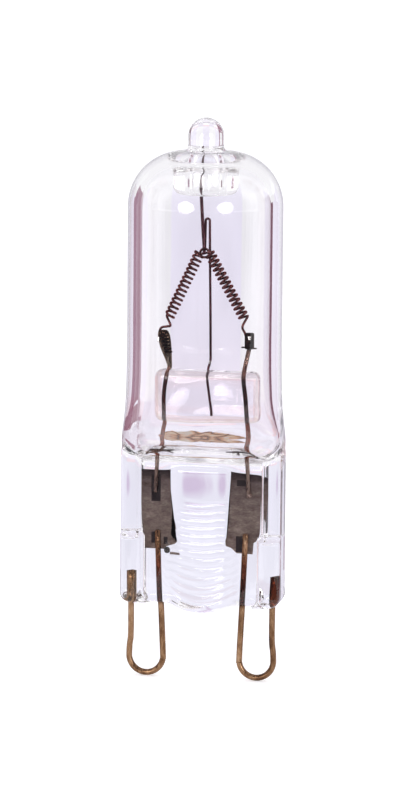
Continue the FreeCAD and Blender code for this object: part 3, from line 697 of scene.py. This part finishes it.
def is_scorched(middle):
    """Whether a face of the hollow, by its middle, lies in the scorched strip."""
    off = middle.x - SCORCH_X
    reach = math.sqrt(max(1 - (off / SCORCH_SPAN) ** 2, 0.01))
    back = SCORCH_ENDS + SCORCH_SWELL * reach**2
    return middle.z < SCORCH_TOP and SCORCH_FRONT < middle.y < back and abs(off) < SCORCH_HALF


def joined_to(vertex):
    """Every vertex that edges join to this one."""
    seen, stack = {vertex}, [vertex]
    while stack:
        for edge in stack.pop().link_edges:
            for other in edge.verts:
                if other not in seen:
                    seen.add(other)
                    stack.append(other)
    return seen


def envelope():
    """The glass: an outer skin, and the skin of the hollow, which faces into the hollow."""
    outside, outside_faces = outer_skin()
    inside, inside_faces = inner_skin()
    shift = len(outside)
    faces = outside_faces + [tuple(corner + shift for corner in face) for face in inside_faces]
    mesh = bpy.data.meshes.new("envelope_glass")
    mesh.from_pydata([Vector(point) * MM for point in outside + inside], [], faces)
    for material in ENVELOPE_GLASS:
        mesh.materials.append(material)
    work = bmesh.new()
    work.from_mesh(mesh)
    bmesh.ops.remove_doubles(work, verts=work.verts, dist=0.0005 * MM)
    bmesh.ops.dissolve_degenerate(work, edges=work.edges, dist=0.0002 * MM)
    for face in work.faces:
        face.smooth = True
    outer = joined_to(max(work.verts, key=lambda vertex: vertex.co.z))
    outer_faces = [face for face in work.faces if face.verts[0] in outer]
    inner_faces = [face for face in work.faces if face.verts[0] not in outer]
    bmesh.ops.recalc_face_normals(work, faces=outer_faces)
    bmesh.ops.recalc_face_normals(work, faces=inner_faces)
    bmesh.ops.reverse_faces(work, faces=inner_faces)
    for face in outer_faces:
        if face.calc_center_median().z < PRESSED_TOP * MM:
            face.material_index = ENVELOPE_GLASS.index(PRESSED)
    for face in inner_faces:
        glass = SCORCHED if is_scorched(face.calc_center_median() / MM) else BORE_GLASS
        face.material_index = ENVELOPE_GLASS.index(glass)
    work.to_mesh(mesh)
    work.free()
    add_piece("envelope_glass", mesh, ["envelope"])


# wires

WOBBLE_SCALE = 2.1
CAP_BULGE = 0.35


def smooth_route(points, steps):
    """A smooth line through points, in even steps from each to the next."""
    route = []
    line = [points[0] * 2 - points[1], *points, points[-1] * 2 - points[-2]]
    for before, start, end, after in zip(line, line[1:], line[2:], line[3:]):
        slope = end - before
        bend = 2 * before - 5 * start + 4 * end - after
        twist = 3 * start - before - 3 * end + after
        for step in range(steps):
            share = step / steps
            route.append(0.5 * (2 * start + slope * share + bend * share**2 + twist * share**3))
    route.append(points[-1])
    return route


def rounded(corners, radius, steps=8):
    """A line of straight runs with its corners turned in small arcs."""
    route = [corners[0]]
    for before, corner, after in zip(corners, corners[1:], corners[2:]):
        into, onward = before - corner, after - corner
        cut = min(radius, into.length * 0.45, onward.length * 0.45)
        start, end = corner + into.normalized() * cut, corner + onward.normalized() * cut
        for step in range(steps + 1):
            share = step / steps
            route.append(start * (1 - share) ** 2 + corner * 2 * share * (1 - share) + end * share**2)
    route.append(corners[-1])
    return route


def flat_route(pairs, y):
    """Places (x, z) in one plane of the bulb's depth."""
    return [Vector((x, y, z)) for x, z in pairs]


def wire(name, route, radius, material, replaced=(), sides=14, wobble=0.0, seed=0.0):
    """A round wire along a route in millimetres, with closed ends.

    The radius may be a function of the share of the route. Wobble is how far the surface wanders.
    """
    points, tangents = [], []
    for index in range(len(route)):
        before = route[max(index - 1, 0)]
        after = route[min(index + 1, len(route) - 1)]
        tangents.append((after - before).normalized())
    side = tangents[0].orthogonal().normalized()
    total = len(route) - 1
    for index, (point, way) in enumerate(zip(route, tangents)):
        side = (side - way * side.dot(way)).normalized()
        other = way.cross(side)
        size = radius(index / total) if callable(radius) else radius
        for step in range(sides):
            angle = 2 * math.pi * step / sides
            reach = size
            if wobble:
                x, z = point.x * WOBBLE_SCALE + seed, point.z * WOBBLE_SCALE
                reach += wobble * noise.noise((x, z, math.cos(angle) * 0.7))
            points.append(point + side * (reach * math.cos(angle)) + other * (reach * math.sin(angle)))
    faces = walls(sides, len(route))
    for start, end, way in ((0, route[0], -tangents[0]), (total * sides, route[-1], tangents[-1])):
        size = radius(0.0 if start == 0 else 1.0) if callable(radius) else radius
        cap = len(points)
        points.append(end + way * size * CAP_BULGE)
        for step in range(sides):
            trio = (start + step, start + (step + 1) % sides, cap)
            faces.append(trio[::-1] if start == 0 else trio)
    return make_piece(name, points, faces, material, replaced)


# pin loops

PIN_MIDDLE = 4.5
PIN_BEND = 1.39
PIN_BEND_Z = 1.64
PIN_RADIUS = 0.2475


def pin_loop(name, side):
    """A bent loop: its inner leg is welded to the foil, its outer leg ends in the lug."""
    bend = arc((PIN_MIDDLE, PIN_BEND_Z), PIN_BEND, 180, 360, steps=18)
    inner_leg = [(3.56, 11.9), (3.42, 8.2), (3.24, 4.6)]
    outer_leg = [(5.86, 2.4), (5.76, 3.4), (5.76, 6.0), (5.76, 8.6)]
    pairs = [(side * x, z) for x, z in inner_leg + bend + outer_leg]
    route = smooth_route(flat_route(pairs, PIN_Y), 4)
    piece = wire(f"{name}_drawn", route, PIN_RADIUS, BRONZE, [name],
                 sides=18, wobble=0.006, seed=side * 3.0)
    piece.data.materials.append(BRONZE_SEALED)
    piece.data.materials.append(BRONZE_END)
    for polygon in piece.data.polygons:
        if abs(polygon.center.x) < PIN_MIDDLE * MM:
            polygon.material_index = 1
        elif side > 0:
            polygon.material_index = 2


# support wires

TIP_WIRE_RADIUS = 0.06
TOP_WIRE_RADIUS = 0.132
CENTRE_WIRE_RADIUS = 0.1
GLINTS = (24.6, 25.55)


def top_radius(share):
    """The top wire's radius at a share of its length: it is thinner in the exhaust tip."""
    return mix(TIP_WIRE_RADIUS, TOP_WIRE_RADIUS, smooth(0.3, 0.4, share))


def top_support():
    """From inside the exhaust tip down to a hook at the top of the filament."""
    places = [Vector(place) for place in (
        (-0.18, 0.07, 42.75), (-0.3, 0.0, 42.0), (-0.18, 0.12, 41.2), (-0.42, 0.1, 40.4),
        (-0.4, 0.095, 39.4), (-0.3, 0.095, 37.5), (-0.13, 0.095, 34.95), (-0.09, 0.06, 34.52),
        (-0.06, -0.1, 34.39), (-0.03, -0.3, 34.385), (0.0, -0.525, 34.39))]
    wire("top_support_wire_drawn", smooth_route(places, 8), top_radius, SUPPORT,
         ["top_support_wire"], wobble=0.004)


def centre_support():
    """From the bridge bar up to a hairpin beside the top of the filament, with two bright glints."""
    hairpin = arc((0.1, 36.83), 0.17, 0, 180, steps=9)
    leg = [Vector(place) for place in (
        (0.65, CENTRE_Y, 21.3), (0.25, CENTRE_Y - 0.06, 24.35), (0.2, CENTRE_Y + 0.02, 24.95),
        (0.42, CENTRE_Y + 0.06, 25.65), (0.38, CENTRE_Y, 31.0))]
    route = rounded(leg, 0.5)[:-1] + flat_route(hairpin + [(-0.09, 34.7)], CENTRE_Y)
    piece = wire("centre_support_wire_drawn", route, CENTRE_WIRE_RADIUS, SUPPORT,
                 ["centre_support_wire"], wobble=0.004)
    # painted highlight: the front faces at the two glint heights take the bright glint metal
    piece.data.materials.append(PAINTED_GLINT)
    for polygon in piece.data.polygons:
        spot = polygon.center / MM
        if spot.y < CENTRE_Y + 0.02 and min(abs(spot.z - glint) for glint in GLINTS) < 0.1:
            polygon.material_index = 1


# filament

COIL_TURNS = 15
COIL_PITCH = 0.385
COIL_RADIUS = 0.365
COIL_INSET = 0.45
APEX_Z = 34.3
APEX_HALF = 0.42
FILAMENT_RADIUS = 0.098


def coil(start, end, turns, radius, steps=28):
    """Turns of wire round a straight line."""
    axis = (end - start).normalized()
    across = axis.cross(Vector((0, 1, 0))).normalized()
    back = across.cross(axis)
    points = []
    for step in range(turns * steps + 1):
        angle = 2 * math.pi * step / steps
        along = start.lerp(end, step / (turns * steps))
        points.append(along + across * (radius * math.cos(angle)) + back * (radius * math.sin(angle)))
    return points


def filament_half(clamp_x, tail_places):
    """From the clamp up to the last turn of the coil, on the left."""
    foot_x = clamp_x - COIL_INSET
    length = COIL_TURNS * COIL_PITCH
    foot = Vector((-foot_x, LEAD_Y, APEX_Z - math.sqrt(length**2 - (foot_x - APEX_HALF) ** 2)))
    turns = coil(foot, Vector((-APEX_HALF, LEAD_Y, APEX_Z)), COIL_TURNS, COIL_RADIUS)
    tail = flat_route(tail_places, LEAD_Y)
    lead_in = smooth_route(tail + [turns[3], turns[8]], 8)[:-8]
    return lead_in[:-1] + turns[3:]


def filament():
    """One wire: a coil from each clamp, joined by a ring at the top."""
    left = filament_half(3.33, [(-3.45, 27.6), (-3.62, 28.0), (-3.45, 28.28), (-3.0, 28.38), (-2.74, 28.5)])
    right = [Vector((-point.x, point.y, point.z)) for point in
             filament_half(3.66, [(-3.4, 27.6), (-3.25, 28.1), (-3.08, 28.42), (-3.12, 28.75)])]
    ring = [Vector((0.36 * math.cos(math.radians(angle)), LEAD_Y - 0.05 + 0.1 * angle / 360,
                    34.34 + 0.34 * math.sin(math.radians(angle)))) for angle in range(200, -161, -20)]
    arch = smooth_route([left[-5], left[-1]] + ring + [right[-1], right[-5]], 4)[4:-4]
    route = left[:-1] + arch + right[::-1][1:]
    wire("filament_coiled", route, FILAMENT_RADIUS, TUNGSTEN, ["filament"], sides=9)


# filament clamps

# the left crimp from its foot up: height, middle, half width and half depth
CRIMP_ROWS = [
    (25.05, -2.76, 0.16, 0.18), (25.4, -2.8, 0.21, 0.22), (26.0, -2.93, 0.32, 0.26),
    (26.7, -3.1, 0.46, 0.29), (27.3, -3.22, 0.52, 0.31), (27.7, -3.29, 0.5, 0.31),
    (27.95, -3.33, 0.43, 0.29), (28.08, -3.35, 0.33, 0.24)]
CRIMP_SIDES = 28
CREASE_DEPTH = 0.22
CREASE_WIDTH = 0.3


def clamp_left():
    """A tapered crimp with a crease down its front, where the filament's end lies coiled."""
    points = []
    for z, x, wide, deep in CRIMP_ROWS:
        for step in range(CRIMP_SIDES):
            angle = 2 * math.pi * step / CRIMP_SIDES
            crease = 1 - CREASE_DEPTH * math.exp(-((angle - 1.5 * math.pi) / CREASE_WIDTH) ** 2)
            points.append(Vector((x + wide * math.cos(angle), LEAD_Y + deep * math.sin(angle) * crease, z)))
    faces = walls(CRIMP_SIDES, len(CRIMP_ROWS))
    faces.append(tuple(range(CRIMP_SIDES))[::-1])
    faces.append(tuple(range(len(points) - CRIMP_SIDES, len(points))))
    make_piece("filament_clamp_left_crimp", points, faces, CLAMP, ["filament_clamp_left"])
    tail = coil(Vector((-3.22, LEAD_Y - 0.4, 27.9)), Vector((-2.78, LEAD_Y - 0.36, 26.35)), 6, 0.24, 20)
    wire("filament_tail_left", tail, 0.09, DARK_CLIP, sides=8)
    # painted highlight: a small bright patch at the crimp's left edge, tilted so it also mirrors the round
    # softbox
    rounded_box((-3.66, LEAD_Y - 0.24, 27.36), (0.2, 0.16, 0.4), 0.06, "clamp_left_painted_glint", PAINTED_GLINT,
                lean=8)


def clamp_right():
    """A square clip with a painted highlight on its front, a small bright tilted patch, and two small feet.
    """
    rounded_box((3.62, LEAD_Y, 27.45), (0.7, 0.6, 1.28), 0.13, "filament_clamp_right_clip", DARK_CLIP,
                ["filament_clamp_right"])
    # painted highlight: a small bright patch, tilted so it also mirrors the round softbox
    rounded_box((3.66, LEAD_Y - 0.3, 27.72), (0.22, 0.08, 0.3), 0.03, "clamp_right_painted_glint", PAINTED_GLINT,
                lean=8)
    for name, x, z in (("clamp_right_foot_inner", 3.18, 26.93), ("clamp_right_foot_outer", 4.0, 26.88)):
        rounded_box((x, LEAD_Y, z), (0.36, 0.3, 0.1), 0.04, name, DARK_CLIP)


# foils: half their thickness, and each outline as (distance from the axis, height)

FOIL_HALF = 0.025
FOIL_LEFT = [
    (4.66, 10.4), (2.9, 10.4), (2.78, 10.62), (2.1, 10.86), (1.92, 11.02), (2.2, 11.3), (2.42, 11.62),
    (2.28, 11.8), (1.98, 12.08), (2.06, 12.42), (2.22, 12.6), (2.3, 13.6), (2.44, 15.2), (2.48, 16.8),
    (4.98, 16.8), (4.98, 14.2), (4.88, 12.4), (4.78, 11.5), (4.7, 11.42)]
FOIL_RIGHT = [
    (4.12, 10.28), (2.75, 10.32), (2.3, 10.72), (1.86, 10.88), (1.82, 11.3), (2.0, 11.9), (2.14, 13.2),
    (2.2, 15.0), (2.24, 16.85), (4.4, 16.72), (4.98, 16.66), (5.3, 16.5), (5.34, 15.2), (5.22, 13.2),
    (5.12, 12.9), (4.98, 14.4), (4.9, 14.6), (4.78, 12.4), (4.56, 11.4), (4.2, 11.2)]


def foil(name, side, outline):
    """A thin sheet with its torn and folded outline: two flat sides and the rim between them."""
    count = len(outline)
    work = bmesh.new()
    work.faces.new([work.verts.new((side * x, 0.0, z)) for x, z in outline])
    bmesh.ops.triangulate(work, faces=work.faces)
    work.verts.index_update()
    back = [tuple(vertex.index for vertex in face.verts) for face in work.faces]
    work.free()
    front = [tuple(index + count for index in face) for face in back]
    rim = [(step, (step + 1) % count, (step + 1) % count + count, step + count) for step in range(count)]
    points = [(side * x, y, z) for y in (FOIL_HALF, -FOIL_HALF) for x, z in outline]
    piece = make_piece(f"{name}_sheet", points, back + front + rim, FOIL, [name])
    for polygon in piece.data.polygons:
        polygon.use_smooth = False


# weld scorches on the foils' front, with painted shade round the left lead's foot: name, x, z, width and
# height
WELD_MARKS = [
    # the first mark, round the left lead's foot, is painted shade, not a weld scorch
    ("painted_shade_slot_left", -3.74, 15.35, 0.8, 2.2), ("weld_mark_right", 3.3, 16.0, 1.1, 0.5),
    ("weld_slot_right", 3.0, 11.05, 0.62, 1.3), ("weld_mark_left", -3.95, 11.3, 0.34, 0.9),
    ("weld_mark_foot", -2.85, 11.1, 0.34, 0.6)]
WELD_Y = -0.032


def foil_marks():
    """Weld scorches, painted shade round the left lead's foot, two weld balls and the torn scrap under the
    left foil.
    """
    for name, x, z, wide, high in WELD_MARKS:
        rounded_box((x, WELD_Y, z), (wide, 0.02, high), 0.0095, name, WELD_AND_SHADE)
    for name, x, y, z, size, material in (("weld_ball_right", 3.8, LEAD_Y, 15.05, 0.22, LEAD),
                                          ("weld_ball_left", -2.72, -0.2, 10.35, 0.26, WELD_AND_SHADE)):
        rounded_box((x, y, z), (2 * size, 2 * size, 2 * size), size * 0.9, name, material)
    rounded_box((-2.1, -0.1, 10.1), (0.75, 0.06, 0.22), 0.028, "foil_scrap_left", FOIL)


# bridge bar and lead wires

BAR_FLATNESS = 0.97
LEAD_RADIUS = 0.17
LEAD_BEND = 0.7


def bridge():
    """The clear cross bar; its rounded edges are a little pinker than its flat faces."""
    piece = rounded_box((0.3, LEAD_Y, 22.9), (8.38, 1.88, 4.18), 0.62, "bridge_bar_glass", BAR_GLASS,
                        ["bridge_bar"])
    piece.data.materials.append(BAR_EDGE)
    for polygon in piece.data.polygons:
        if max(abs(number) for number in polygon.normal) < BAR_FLATNESS:
            polygon.material_index = 1


def lead(name, pairs):
    """A lead wire through places (x, z), from its clamp down to the foil."""
    route = rounded(flat_route(pairs, LEAD_Y), LEAD_BEND)
    wire(f"{name}_drawn", route, LEAD_RADIUS, LEAD, [name], sides=16, wobble=0.012,
         seed=pairs[0][0])


# studio

BACK = Vector((-math.sin(AZIMUTH), math.cos(AZIMUTH), 0))
RIGHT = Vector((math.cos(AZIMUTH), math.sin(AZIMUTH), 0))
UP = Vector((0, 0, 1))
SQUARE = ((-1, -1), (1, -1), (1, 1), (-1, 1))
CARD_MOTTLE_SCALE = 0.12
SHEET_HEIGHT = 0.5
LAMP_AIM = 38


def emitter(name, colour, strength=1.0, heights=(), mottle=0.0, patch=()):
    """A glowing card. Heights are (z, colour) up the card; mottle is how much it varies softly.

    Patch is a soft spot of another colour: its place (x, z), its reach (x, z) and its colour.
    """
    material, tree, glow = new_material(name, "ShaderNodeEmission")
    fill(glow, {"Color": (*colour, 1.0), "Strength": strength})
    if heights:
        tree.links.new(height_ramp(tree, heights), glow.inputs["Color"])
    if patch:
        (x, z), (wide, high), tint = patch
        away = tree.nodes.new("ShaderNodeVectorMath")
        away.operation = "LENGTH"
        place = object_place(tree, (1 / wide, 0, 1 / high), (-x / wide, 0, -z / high))
        tree.links.new(place, away.inputs[0])
        spot = ramp(tree, away.outputs["Value"], [(0.35, tint), (1.0, colour)])
        tree.links.new(spot, glow.inputs["Color"])
    if mottle:
        soft = noise_at(tree, object_place(tree), CARD_MOTTLE_SCALE, detail=1.0)
        weak, strong = strength * (1 - mottle), strength * (1 + mottle)
        tree.links.new(rescaled(tree, soft, *NOISE_RANGE, weak, strong), glow.inputs["Strength"])
    return material


def studio_face(name, corners, material):
    """One flat face of the studio, its corners in metres."""
    mesh = bpy.data.meshes.new(name)
    mesh.from_pydata(corners, [], [tuple(range(len(corners)))])
    mesh.materials.append(material)
    return add_object(name, mesh)


def unseen_face(name, corners, material):
    """A glowing face, its corners in millimetres, that shows in glass and metal but isn't seen itself."""
    piece = studio_face(name, [corner * MM for corner in corners], material)
    piece.visible_camera = False
    piece.visible_shadow = False
    piece.visible_diffuse = False


def card(name, bearing, distance, size, height, material):
    """A plain card standing at a bearing, in degrees to the right of the view through the bulb."""
    way = math.radians(bearing)
    spot = BACK * (math.cos(way) * distance) + RIGHT * (math.sin(way) * distance)
    across = Vector((-spot.y, spot.x, 0)).normalized()
    corners = [spot + across * sx * size[0] / 2 + UP * (height + sz * size[1] / 2) for sx, sz in SQUARE]
    unseen_face(name, corners, material)


def sheet(name, sides, depths, material):
    """A sheet lying on the floor, from side to side and between two distances behind the bulb."""
    (low, high), (near, far) = sides, depths
    corners = [RIGHT * side + BACK * away + UP * SHEET_HEIGHT
               for side, away in ((low, near), (high, near), (high, far), (low, far))]
    unseen_face(name, corners, material)


def lamp(name, bearing, rise, distance, radius, material):
    """A round softbox facing the bulb's dome, at a bearing and a rise in degrees."""
    way, up = math.radians(bearing), math.radians(rise)
    out = (BACK * math.cos(way) + RIGHT * math.sin(way)) * math.cos(up) + UP * math.sin(up)
    spot = out * distance + UP * LAMP_AIM
    across = out.cross(UP).normalized()
    rise_way = across.cross(out)
    rim = [spot + across * x + rise_way * y for x, y in arc((0, 0), radius, 0, 350, steps=35)]
    unseen_face(name, rim, material)


def floor():
    """The plain pale floor, level with the bottom of the loops."""
    material, tree, shader = new_material("floor_pale")
    fill(shader, {"Base Color": (0.9, 0.9, 0.9, 1.0), "Roughness": 0.9, "Specular IOR Level": 0.0,
                  "Emission Color": (1, 1, 1, 1), "Emission Strength": 0.5})
    reach = 3.0
    studio_face("floor", [(sx * reach, sy * reach, 0) for sx, sy in SQUARE], material)


def backdrop():
    """The white sheet behind the bulb, which only the camera sees; the glass looks past it."""
    distance, half, top = 1.2, 1.5, 1.2
    corners = [BACK * distance + RIGHT * half * side + UP * height
               for side, height in ((-1, 0), (1, 0), (1, top), (-1, top))]
    piece = studio_face("backdrop", corners, emitter("backdrop_white", WHITE, 1.05))
    piece.visible_glossy = False
    piece.visible_transmission = False
    piece.visible_shadow = False
    piece.visible_diffuse = False


def cards_behind():
    """The lavender, pale and dark cards that the glass shows from behind the bulb."""
    mauve = emitter("card_mauve", (0.42, 0.24, 0.32), heights=[
        (2.0, (0.33, 0.14, 0.2)), (14.0, (0.33, 0.17, 0.24))])
    card("card_left_back", -46, 66, (33, 60), 20, mauve)
    card("card_right_back", 61, 66, (28, 60), 20, emitter("card_red", (0.16, 0.05, 0.08)))
    lavender = emitter("card_lavender", (0.8, 0.75, 0.9), 1.12, mottle=0.05, heights=[
        (2.0, (0.9, 0.72, 0.78)), (6.5, (0.87, 0.75, 0.82)), (9.5, (0.85, 0.81, 0.91)),
        (26.0, (0.83, 0.8, 0.91)), (43.5, (0.8, 0.77, 0.88)), (44.5, (0.96, 0.96, 0.97))])
    card("card_back", 5, 75, (190, 52), 26.3, lavender)
    pale = emitter("card_pale", (0.96, 0.95, 0.98), 1.04, mottle=0.04, heights=[
        (9.0, (0.83, 0.78, 0.89)), (13.5, (0.96, 0.95, 0.98))])
    card("card_pale_left", -13.5, 68, (16, 60), 22, pale)
    card("card_pale_right", 15, 68, (18, 60), 22, pale)
    low = emitter("card_seal", (0.83, 0.82, 0.92), 1.06, mottle=0.05,
                  patch=((-6.75, 10.5), (2.1, 1.4), (0.66, 0.56, 0.73)))
    card("card_seal_back", 0, 30, (90, 12), 6.4, low)
    card("card_left_low", -46, 36, (26, 14), 7.2, emitter("card_shade_left", (0.34, 0.17, 0.23)))
    card("card_right_low", 56, 36, (10, 15), 7.6, emitter("card_shade_right", (0.3, 0.12, 0.16)))
    card("card_right_blush", 37, 38, (18, 14), 7.1, emitter("card_blush", (0.93, 0.74, 0.79)))


def lights():
    """The softboxes, the small white cards beside the tip, and the sheets on the floor."""
    strip = emitter("softbox_strip", WHITE, 1.3)
    card("softbox_left", -76, 90, (40, 80), 36, strip)
    card("softbox_right", 78, 90, (40, 80), 36, strip)
    white = emitter("card_tip", (0.96, 0.96, 0.98))
    card("card_tip_left", -40, 19.1, (4.4, 7.5), 42.4, white)
    card("card_tip_right", 59, 18.9, (4.4, 7.5), 42.4, white)
    sheet("front_sheet", (-700, 700), (-1400, -34), emitter("front_sheet_grey", (0.16, 0.15, 0.17)))
    sheet("rear_sheet", (-110, 110), (5, 64), emitter("rear_sheet_lavender", (0.84, 0.8, 0.9)))
    disc = emitter("softbox_round", WHITE, 7.0)
    lamp("softbox_round_left", -150, 7.0, 300, 62, disc)
    lamp("softbox_round_right", 150, 7.0, 300, 62, disc)


def world():
    """A white studio, bright behind and above the bulb and dim behind the camera."""
    scene = bpy.context.scene
    scene.world = bpy.data.worlds.new("studio")
    scene.world.use_nodes = True
    tree = scene.world.node_tree
    background = tree.nodes["Background"]
    fill(background, {"Strength": 1.0})
    coordinates = tree.nodes.new("ShaderNodeTexCoord")
    facing = tree.nodes.new("ShaderNodeVectorMath")
    facing.operation = "DOT_PRODUCT"
    facing.inputs[1].default_value = BACK * 0.8 + UP * 0.6
    tree.links.new(coordinates.outputs["Generated"], facing.inputs[0])
    share = rescaled(tree, facing.outputs["Value"], -0.5, 0.5)
    colour = ramp(tree, share, [
        (0.0, (0.26, 0.24, 0.27)), (0.55, (0.78, 0.77, 0.82)), (1.0, (0.93, 0.92, 0.95))])
    tree.links.new(colour, background.inputs["Color"])


def camera():
    """The photo's view, with its slight roll."""
    distance = 0.35
    sensor = 36.0
    roll = math.radians(0.5)
    picture_height = 63.56 * MM
    target = Vector((-0.2, 0.0, 22.5)) * MM
    data = bpy.data.cameras.new("camera")
    data.sensor_width = sensor
    data.lens = sensor * distance / picture_height
    data.clip_start = 0.01
    data.clip_end = 20.0
    eye = add_object("camera", data)
    away = UP * math.sin(ELEVATION) - BACK * math.cos(ELEVATION)
    eye.location = target + away * distance
    turn = away.to_track_quat("Z", "Y").to_matrix().to_4x4() @ Matrix.Rotation(roll, 4, "Z")
    eye.rotation_euler = turn.to_euler()
    bpy.context.scene.camera = eye


def render_look():
    """Plain colours, and enough bounces for the many walls of glass."""
    view, cycles = bpy.context.scene.view_settings, bpy.context.scene.cycles
    view.view_transform = "Standard"
    view.look = "None"
    cycles.max_bounces = 40
    cycles.transmission_bounces = 36
    cycles.glossy_bounces = 36
    cycles.transparent_max_bounces = 16
    cycles.use_denoising = True


camera()
floor()
cards_behind()
lights()
backdrop()
world()
render_look()
envelope()
pin_loop("pin_loop_left", -1)
pin_loop("pin_loop_right", 1)
top_support()
centre_support()
filament()
clamp_left()
clamp_right()
foil("foil_left", -1, FOIL_LEFT)
foil("foil_right", 1, FOIL_RIGHT)
foil_marks()
bridge()
lead("lead_wire_left", [(-2.77, 25.39), (-3.15, 23.24), (-3.15, 20.8), (-3.6, 18.9), (-3.78, 15.0)])
lead("lead_wire_right", [(3.66, 27.09), (3.15, 24.66), (3.375, 22.9), (3.6, 18.9), (3.78, 15.0)])
